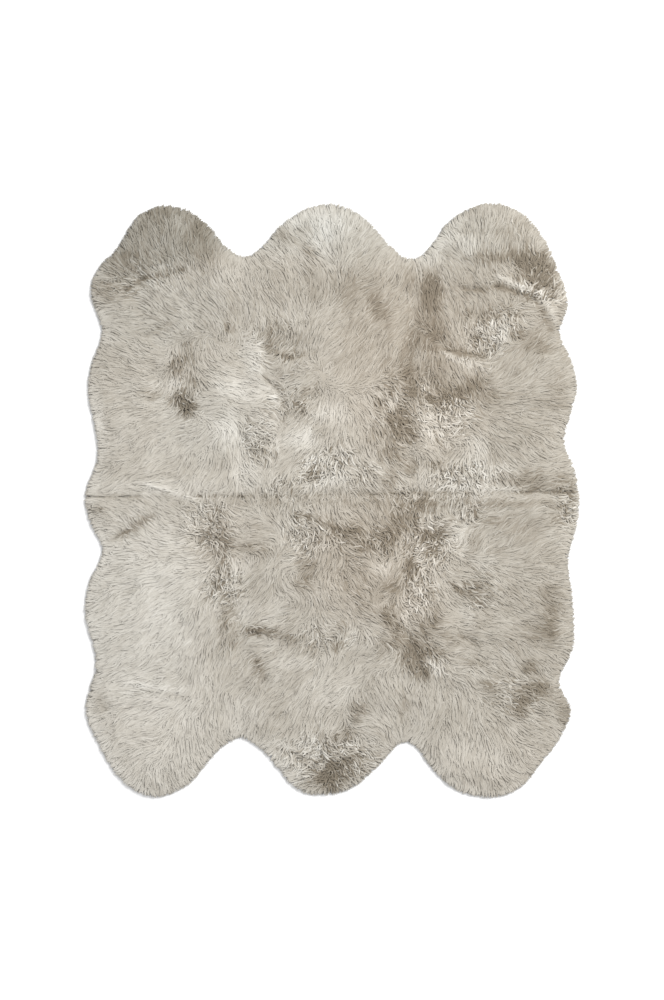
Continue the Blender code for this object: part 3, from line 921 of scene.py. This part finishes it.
def covered_cells(locks, low, shape):
    """How many points of the locks' outer parts lie in each cell of a square net."""
    counts = np.zeros(shape, int)
    points = locks.stations[:, 1:, :2]
    for share in THIRDS:
        between = points[:, :-1] * (1 - share) + points[:, 1:] * share
        cells = ((between.reshape(-1, 2) - low) / BARE_CELL).astype(int)
        cells = np.clip(cells, 0, np.array(shape) - 1)
        np.add.at(counts, tuple(cells.T), 1)
    return counts


def bare_places(wool, pelt, locks, chance):
    """Places on a pelt that few locks cover."""
    loop = wool.outlines[pelt]
    low, high = loop.min(axis=0), loop.max(axis=0)
    shape = tuple(((high - low) / BARE_CELL).astype(int) + 1)
    counts = covered_cells(locks, low, shape)
    cells = np.argwhere(counts < BARE_COUNT)
    places = low + (cells + chance.uniform(0, 1, cells.shape)) * BARE_CELL
    return places[inside(loop, places) & (wool.rim(places) > OVERHANG + BARE_MARGIN)]


def rim_locks(wool, pelt, chance):
    """The locks rooted along a pelt's free edge, which hang out and down to the floor."""
    starts, ends = wool.free_edge(pelt)
    lengths = np.linalg.norm(ends - starts, axis=1)
    places, tiers = [], []
    for tier in range(len(RIM_SWELLS)):
        leg = chance.choice(len(lengths), round(lengths.sum() / RIM_PITCH), p=lengths / lengths.sum())
        share = chance.uniform(0, 1, len(leg))[:, None]
        places.append(starts[leg] + (ends - starts)[leg] * share)
        tiers.append(np.full(len(leg), tier))
    places, tiers = np.concatenate(places), np.concatenate(tiers)
    count = len(places)
    outward = unit(wool.chart.read(wool.outward, places))
    places = places - outward * chance.uniform(*RIM_ROOT_INSETS, count)[:, None]
    stray = chance.normal(0, RIM_STRAY, count) + RIM_WAVER * WAVER.at(places, RIM_WAVER_SIZE)
    way = turned(outward, stray)
    reach = wool.rim(places) - chance.uniform(*RIM_TIP_GAPS, count)
    low = np.array(RIM_ROOT_HEIGHTS)[tiers] + chance.uniform(*RIM_ROOT_RISES, count)
    tip = chance.uniform(*RIM_TIP_HEIGHTS, count)
    swell = np.array(RIM_SWELLS)[tiers]
    swing = chance.normal(0, RIM_SWING, count)
    waves = np.sin(2 * np.pi * STATIONS + chance.uniform(*RIM_PHASES, count)[:, None]) * STATIONS
    level = places[:, None] + way[:, None] * (reach[:, None] * STATIONS)[..., None]
    level = level + beside(way)[:, None] * (swing[:, None] * waves)[..., None]
    height = low[:, None] * (1 - STATIONS) + tip[:, None] * STATIONS
    height = height + swell[:, None] * np.sin(np.pi * STATIONS)
    openness, tone = patch_effects(places)[0], stations_tone(wool, level, chance)
    width = LOCK_WIDTH * chance.uniform(*RIM_WIDTHS, count)
    return Locks(
        np.concatenate([level, height[..., None]], axis=2),
        width[:, None] * STATION_WIDTHS,
        chance.normal(0, LOCK_ROLL, count),
        lock_tones(tone, openness * RIM_OPENNESS, chance),
    )


def all_locks(wool, pelt, chance):
    """A pelt's locks: those that lie, those that stand between them, and those at the rim."""
    loop = wool.outlines[pelt]
    roots = scattered(loop, LOCK_PITCH, chance)
    clumps = scattered(loop, CLUMP_PITCH, chance)
    openness = patch_effects(roots)[0]
    roots = roots[chance.uniform(0, 1, len(roots)) < THIN_SHARE + OPEN_SHARE * openness]
    lying = top_locks(wool, pelt, roots, clumps, chance, standing=False)
    bare = bare_places(wool, pelt, lying, chance)
    standing = top_locks(wool, pelt, bare, clumps, chance, standing=True)
    return joined([lying, standing, rim_locks(wool, pelt, chance)])


def lock_axes(locks):
    """The ways across each lock and out of its ridge, at every station."""
    forward = unit(np.gradient(locks.stations, axis=1))
    side = unit(np.cross(forward, UP))
    up = np.cross(side, forward)
    cos, sin = np.cos(locks.roll)[:, None, None], np.sin(locks.roll)[:, None, None]
    return side * cos + up * sin, up * cos - side * sin


def lock_corners(locks):
    """The corners of every lock: three-sided rings along its centreline, then its tip."""
    side, up = lock_axes(locks)
    half, thick = locks.widths[..., None] / 2, locks.widths[..., None] * LOCK_THICKNESS
    left = locks.stations - side * half - up * thick / 3
    right = locks.stations + side * half - up * thick / 3
    ridge = locks.stations + up * thick * 2 / 3
    rings = np.stack([left, right, ridge], axis=2)[:, :RINGS]
    return np.concatenate([rings.reshape(len(rings), -1, 3), locks.stations[:, -1:]], axis=1)


def lock_normals(locks):
    """The way in which each corner of a lock faces."""
    side, up = lock_axes(locks)
    left, right = unit(SIDE_RISE * up - SIDE_LEAN * side), unit(SIDE_RISE * up + SIDE_LEAN * side)
    rings = np.stack([left, right, up], axis=2)[:, :RINGS]
    return np.concatenate([rings.reshape(len(rings), -1, 3), up[:, -1:]], axis=1)


def lock_faces():
    """One lock's triangles, and for each of their corners its share round the lock and along it."""
    faces, places = [], []
    for ring in range(RINGS):
        here, there = STATIONS[ring], STATIONS[ring + 1]
        for side in range(SIDES):
            low, low_next = ring * SIDES + side, ring * SIDES + (side + 1) % SIDES
            start, end = side / SIDES, (side + 1) / SIDES
            if ring == RINGS - 1:
                faces.append((low, RINGS * SIDES, low_next))
                places.append(((start, here), ((start + end) / 2, 1.0), (end, here)))
                continue
            high, high_next = low + SIDES, low_next + SIDES
            faces += [(low, high_next, low_next), (low, high, high_next)]
            places.append(((start, here), (end, there), (end, here)))
            places.append(((start, here), (start, there), (end, there)))
    faces.append((0, 1, 2))
    places.append(ROOT_CAP_MAP)
    return np.array(faces), np.array(places)


def make_object(name, corners, faces, material):
    mesh = bpy.data.meshes.new(name)
    mesh.from_pydata(corners, [], faces)
    mesh.shade_smooth()
    mesh.materials.append(material)
    obj = bpy.data.objects.new(name, mesh)
    bpy.context.scene.collection.objects.link(obj)
    return obj


def add_values(mesh, name, values):
    """A number for each of the mesh's points, for its material to read."""
    attribute = mesh.attributes.new(name, "FLOAT", "POINT")
    attribute.data.foreach_set("value", values.astype(np.float32).ravel())


def add_map(mesh, name, places):
    mesh.uv_layers.new(name=name).data.foreach_set("uv", places.astype(np.float32).ravel())


def make_wool(name, locks, body, wool, material, chance):
    """One piece of a pelt's locks and its underfur."""
    count = len(locks.stations)
    corners = lock_corners(locks)
    faces, places = lock_faces()
    per_lock = corners.shape[1]
    first = count * per_lock
    every_face = (np.arange(count)[:, None, None] * per_lock + faces).reshape(-1, 3)
    all_corners = np.concatenate([corners.reshape(-1, 3), body.corners])
    all_faces = np.concatenate([every_face, body.faces + first])
    obj = make_object(name, all_corners, all_faces, material)
    mesh = obj.data
    own = np.repeat(chance.uniform(0, 1, count), per_lock)
    add_values(mesh, "lock", np.append(own, np.full(len(body.corners), UNDERFUR_LOCK)))
    ring_tones = np.repeat(locks.tones[:, :RINGS], SIDES, axis=1)
    tones = np.concatenate([ring_tones, locks.tones[:, RINGS:]], axis=1)
    add_values(mesh, "tone", np.append(tones, body.tone))
    add_values(mesh, "warmth", warmth_at(all_corners[:, :2]))
    laid = (body.corners[:, :2] - body.corners[:, :2].min(axis=0))[body.faces]
    add_map(mesh, "strand", np.concatenate([np.tile(places, (count, 1, 1)), laid / UNDERFUR_STRAND]))
    columns = int(np.ceil(np.sqrt(count)))
    cell = np.stack([np.arange(count) % columns, np.arange(count) // columns], axis=1)[:, None, None]
    lock_map = (cell + CELL_MARGIN + CELL_FILL * places).reshape(-1, 3, 2) / columns * LOCK_MAP_SHARE
    body_map = laid * UNDERFUR_MAP_SCALE + UNDERFUR_MAP_PLACE
    add_map(mesh, "OFBake", np.concatenate([lock_map, body_map]))
    facing = wool.facing(all_corners[:, :2])
    openness = patch_effects(all_corners[:first, :2])[0][:, None]
    soft = COMBED_SOFTNESS + (OPEN_SOFTNESS - COMBED_SOFTNESS) * openness
    facing[:first] = unit(facing[:first] * soft + lock_normals(locks).reshape(-1, 3) * (1 - soft))
    facing[first + body.top_count :] = -UP
    mesh.normals_split_custom_set_from_vertices(facing.tolist())
    return obj


# Underfur and hide


class Body(NamedTuple):
    """A pelt's underfur: triangles, and a tone for each corner. The corners of its top come first."""

    corners: np.ndarray
    faces: np.ndarray
    tone: np.ndarray
    top_count: int


def filled_net(loop, pitch):
    """The points and triangles of an even net that fills a loop. The loop's own points come first."""
    net = even_net(loop, pitch)
    net = net[inside(loop, net)]
    net = net[distances(tree_of(straight_steps(loop, pitch / 3)), net) > pitch * NET_CLEARANCE]
    places = [Vector(place) for place in np.concatenate([loop, net])]
    edge = [list(range(len(loop)))]
    found, _, faces, _, _, _ = geometry.delaunay_2d_cdt(places, [], edge, 1, JOIN_DISTANCE)
    return np.array(found), np.array(faces)


def underfur(wool, pelt):
    """A closed body under the locks, from just over the hide to just under the top of the wool."""
    moved = np.where(wool.sewn[pelt], SEAM_INSET, UNDERFUR_INSET)
    loop = straight_steps(inset(wool.outlines[pelt], moved), UNDERFUR_NET)
    places, top_faces = filled_net(loop, UNDERFUR_NET)
    base_places, base_faces = filled_net(loop, BASE_NET)
    openness, tone = patch_effects(places)
    rough = UNDERFUR_RELIEF * RELIEF.at(places, RELIEF_SIZE)
    top = wool.top(places) - UNDERFUR_DEPTH - OPEN_UNDERFUR_DEPTH * openness + rough
    top = np.maximum(top, UNDERFUR_FLOOR + LEAST_UNDERFUR)
    base = np.full(len(base_places), UNDERFUR_FLOOR)
    corners = np.concatenate([np.column_stack([places, top]), np.column_stack([base_places, base])])
    first, edge = len(places), np.arange(len(loop))
    after = np.roll(edge, -1)
    walls = [
        np.stack([edge, edge + first, after + first], axis=1),
        np.stack([edge, after + first, after], axis=1),
    ]
    faces = np.concatenate([top_faces, base_faces[:, ::-1] + first, *walls])
    # The underfur is darker, partly as root wool and partly as painted shade between the locks
    return Body(corners, faces, np.append(tone, np.zeros(len(base_places))) - UNDERFUR_DARK, first)


def make_hide(wool, pelt, material):
    """The hide: a flat sheet with rounded edges."""
    outline = wool.outlines[pelt]
    levels = (
        (HIDE_BEVEL, 0.0),
        (HIDE_SIDE_INSET, HIDE_BEVEL * HIDE_ROUNDING),
        (HIDE_SIDE_INSET, HIDE_THICKNESS - HIDE_BEVEL * HIDE_ROUNDING),
        (HIDE_BEVEL, HIDE_THICKNESS),
    )
    count, last = len(outline), len(levels) - 1
    rings = [np.column_stack([inset(outline, moved), np.full(count, height)]) for moved, height in levels]
    faces = [list(range(count))[::-1], [index + last * count for index in range(count)]]
    for ring in range(last):
        for index in range(count):
            low, low_next = ring * count + index, ring * count + (index + 1) % count
            faces.append([low, low_next, low_next + count, low + count])
    obj = make_object(f"hide_{pelt[5:]}", np.concatenate(rings), faces, material)
    obj.data.set_sharp_from_angle(angle=HIDE_SHARP_ANGLE)
    return obj


# Sewing


def seams(wool):
    """The start and end of every seam."""
    found = []
    names = list(wool.outlines)
    for number, name in enumerate(names):
        for other in names[number + 1 :]:
            tree = tree_of(straight_steps(wool.outlines[other], FINE_SEAM_STEP))
            loop = straight_steps(wool.outlines[name], SEAM_STEP)
            shared = loop[distances(tree, loop) < SHARED_GAP]
            if len(shared) > LEAST_SEAM_POINTS:
                spread = shared[:, None] - shared[None]
                ends = np.unravel_index(np.argmax((spread**2).sum(axis=2)), (len(shared), len(shared)))
                found.append((shared[ends[0]], shared[ends[1]]))
    return found


def make_thread(wool, material):
    """Flat zigzag stitches across each seam, which dip into the hide at their ends."""
    corners, faces, maps = [], [], []
    ring = np.array([(1, 0), (0, 1), (-1, 0), (0, -1)]) * THREAD_RADIUS
    sides = len(ring)
    for start, end in seams(wool):
        along = unit(end - start)
        side = np.array([-along[1], along[0]])
        count = int(np.linalg.norm(end - start) / STITCH_LENGTH / 2) * 2
        steps = np.arange(count * 2 + 1)
        reach = np.sin(steps * np.pi / 2) * STITCH_REACH
        height = THREAD_HEIGHT + THREAD_SINK * (steps % 2)
        centre = start + along * (steps * STITCH_LENGTH / 2)[:, None] + side * reach[:, None]
        centre = np.column_stack([centre, height])
        forward = unit(np.gradient(centre, axis=0))
        across = unit(np.cross(forward, UP))
        above = np.cross(across, forward)
        tube = centre[:, None] + across[:, None] * ring[:, :1] + above[:, None] * ring[:, 1:]
        first = sum(len(part) for part in corners)
        corners.append(tube.reshape(-1, 3))
        for step in range(len(steps) - 1):
            low_ring = first + step * sides
            for edge in range(sides):
                low, low_next = low_ring + edge, low_ring + (edge + 1) % sides
                faces.append((low, low + sides, low_next + sides, low_next))
                turn, next_turn = edge / sides, (edge + 1) / sides
                maps += [(turn, step), (turn, step + 1), (next_turn, step + 1), (next_turn, step)]
        last = first + (len(steps) - 1) * sides
        faces += [tuple(first + edge for edge in range(sides))]
        faces += [tuple(last + edge for edge in reversed(range(sides)))]
        maps += [(0, 0)] * sides * 2
    obj = make_object("seam_thread", np.concatenate(corners), faces, material)
    add_map(obj.data, "strand", np.array(maps))
    return obj


# Materials


def new_material(name, colour, roughness):
    material = bpy.data.materials.new(name)
    material.use_nodes = True
    tree = material.node_tree
    shader = tree.nodes["Principled BSDF"]
    shader.inputs["Base Color"].default_value = (*colour, 1.0)
    shader.inputs["Roughness"].default_value = roughness
    return material, tree, shader


def add_node(tree, kind, settings=(), values=(), links=()):
    """A node with its settings, its inputs' own values, and links from other nodes' outputs."""
    node = tree.nodes.new(kind)
    for key, value in settings:
        setattr(node, key, value)
    for key, value in values:
        node.inputs[key].default_value = value
    for key, output in links:
        tree.links.new(output, node.inputs[key])
    return node


def in_range(tree, source, source_range, target_range):
    """A value moved from one range to another."""
    (low, high), (low_target, high_target) = source_range, target_range
    values = (("From Min", low), ("From Max", high), ("To Min", low_target), ("To Max", high_target))
    return add_node(tree, "ShaderNodeMapRange", (), values, [("Value", source)]).outputs["Result"]


def total(tree, first, second):
    """The sum of two values."""
    links = [(0, first), (1, second)]
    return add_node(tree, "ShaderNodeMath", [("operation", "ADD")], (), links).outputs[0]


def noise(tree, where, scale, detail):
    values = [("Scale", scale), ("Detail", detail)]
    return add_node(tree, "ShaderNodeTexNoise", (), values, [("Vector", where)]).outputs["Fac"]


def coloured(tree, source, colours):
    """A value from 0 to 1 turned into a colour, from rows of a place on the ramp and its colour."""
    ramp = add_node(tree, "ShaderNodeValToRGB", (), (), [("Fac", source)])
    stops = ramp.color_ramp.elements
    for stop, (place, colour) in zip(stops, (colours[0], colours[-1])):
        stop.position, stop.color = place, (*colour, 1.0)
    for place, colour in colours[1:-1]:
        stops.new(place).color = (*colour, 1.0)
    return ramp.outputs["Color"]


def roughen(tree, shader, height, strength, distance):
    """Fine relief on a surface."""
    values = [("Strength", strength), ("Distance", distance)]
    bump = add_node(tree, "ShaderNodeBump", (), values, [("Height", height)])
    tree.links.new(bump.outputs["Normal"], shader.inputs["Normal"])


def wool_material():
    """Wool: darker and browner at the root, paler at the tip, streaked by its fibres."""
    material, tree, shader = new_material("wool", colour=(0.5, 0.46, 0.4), roughness=0.8)
    shader.inputs["Specular IOR Level"].default_value = 0.3
    shader.inputs["Sheen Weight"].default_value = 0.3
    shader.inputs["Sheen Roughness"].default_value = 0.4
    lock, tone, warmth = (
        add_node(tree, "ShaderNodeAttribute", [("attribute_name", name)]).outputs["Fac"]
        for name in ("lock", "tone", "warmth")
    )
    strand = add_node(tree, "ShaderNodeUVMap", [("uv_map", "strand")]).outputs["UV"]
    stretched = add_node(tree, "ShaderNodeMapping", (), [("Scale", FIBRE_STRETCH)], [("Vector", strand)])
    fibres = add_node(
        tree,
        "ShaderNodeTexNoise",
        [("noise_dimensions", "4D")],
        [("Scale", 1.0), ("Detail", 3.0)],
        [("Vector", stretched.outputs["Vector"]), ("W", in_range(tree, lock, (0, 1), FIBRE_SEEDS))],
    ).outputs["Fac"]
    pale = total(
        tree,
        in_range(tree, tone, (-1.0, 1.0), TONE_RANGE),
        in_range(tree, fibres, NOISE_RANGE, FIBRE_RANGE),
    )
    mixed = add_node(
        tree,
        "ShaderNodeMix",
        [("data_type", "RGBA"), ("blend_type", "MULTIPLY")],
        [("Factor", 1.0)],
    )
    cast = in_range(tree, warmth, (-1, 1), (0, 1))
    tree.links.new(coloured(tree, pale, WOOL_COLOURS), mixed.inputs["A"])
    tree.links.new(coloured(tree, cast, WOOL_CASTS), mixed.inputs["B"])
    tree.links.new(mixed.outputs["Result"], shader.inputs["Base Color"])
    roughen(tree, shader, fibres, strength=0.6, distance=0.001)
    return material


def hide_material():
    """Suede: a napped, mottled skin."""
    material, tree, shader = new_material("suede", colour=(0.62, 0.54, 0.43), roughness=0.9)
    shader.inputs["Sheen Weight"].default_value = 0.4
    where = add_node(tree, "ShaderNodeTexCoord").outputs["Object"]
    mottle = noise(tree, where, scale=9.0, detail=5.0)
    nap = noise(tree, where, scale=900.0, detail=3.0)
    level = total(
        tree,
        in_range(tree, mottle, NOISE_RANGE, MOTTLE_RANGE),
        in_range(tree, nap, NOISE_RANGE, NAP_RANGE),
    )
    tree.links.new(coloured(tree, level, SUEDE_COLOURS), shader.inputs["Base Color"])
    roughen(tree, shader, nap, strength=0.4, distance=0.0004)
    return material


def thread_material():
    """Waxed thread with a fine twist."""
    material, tree, shader = new_material("thread", colour=(0.70, 0.66, 0.57), roughness=0.55)
    strand = add_node(tree, "ShaderNodeUVMap", [("uv_map", "strand")]).outputs["UV"]
    twist = add_node(
        tree,
        "ShaderNodeTexWave",
        [("bands_direction", "DIAGONAL")],
        [("Scale", 1.6), ("Distortion", 0.4)],
        [("Vector", strand)],
    ).outputs["Fac"]
    tree.links.new(coloured(tree, twist, THREAD_COLOURS), shader.inputs["Base Color"])
    return material


def floor_material():
    material, _, shader = new_material("floor", colour=(0.93, 0.93, 0.93), roughness=0.8)
    shader.inputs["Specular IOR Level"].default_value = 0.1
    return material


# Stage


def make_floor():
    corners = [(x * FLOOR_SIZE, y * FLOOR_SIZE, 0.0) for x, y in ((-1, -1), (1, -1), (1, 1), (-1, 1))]
    floor = make_object("floor", corners, [(0, 1, 2, 3)], floor_material())
    floor.location.z = FLOOR_HEIGHT


def make_lights():
    world = bpy.data.worlds.new("studio")
    bpy.context.scene.world = world
    world.use_nodes = True
    sky = world.node_tree.nodes["Background"]
    sky.inputs["Color"].default_value = (1.0, 1.0, 1.0, 1.0)
    sky.inputs["Strength"].default_value = SKY_STRENGTH
    light = bpy.data.lights.new("key", "AREA")
    light.shape = "DISK"
    light.size = LAMP_SIZE
    light.energy = LAMP_POWER
    lamp = bpy.data.objects.new("key", light)
    lamp.location = LAMP_PLACE
    lamp.rotation_euler = (-lamp.location).to_track_quat("-Z", "Y").to_euler()
    bpy.context.scene.collection.objects.link(lamp)


def make_camera():
    camera = bpy.data.cameras.new("camera")
    camera.lens = LENS
    camera.sensor_width = SENSOR
    camera.clip_end = FARTHEST
    eye = bpy.data.objects.new("camera", camera)
    eye.location = (0.0, 0.0, PHOTO_HEIGHT * LENS / SENSOR)
    bpy.context.scene.collection.objects.link(eye)
    bpy.context.scene.camera = eye
    bpy.context.scene.view_settings.view_transform = "Standard"


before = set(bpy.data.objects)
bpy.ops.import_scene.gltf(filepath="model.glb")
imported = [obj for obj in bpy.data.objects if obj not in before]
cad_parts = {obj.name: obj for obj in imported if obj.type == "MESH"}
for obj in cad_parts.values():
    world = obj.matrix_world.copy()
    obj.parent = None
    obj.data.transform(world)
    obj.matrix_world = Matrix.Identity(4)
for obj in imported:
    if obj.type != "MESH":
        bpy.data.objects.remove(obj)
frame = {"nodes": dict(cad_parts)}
cad_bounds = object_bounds()
wool = Wool(frame["nodes"], *cad_bounds)
fleece, suede = wool_material(), hide_material()
for number, pelt in enumerate(frame["nodes"]):
    chance = np.random.default_rng(SEED + 10 * number)
    locks = all_locks(wool, pelt, chance)
    wool_piece = make_wool(f"wool_{pelt[5:]}", locks, underfur(wool, pelt), wool, fleece, chance)
    hide_piece = make_hide(wool, pelt, suede)
    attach(wool_piece, "root")
    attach(hide_piece, "root")
    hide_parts(pelt)
thread = make_thread(wool, thread_material())
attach(thread, "root")
make_floor()
make_lights()
make_camera()
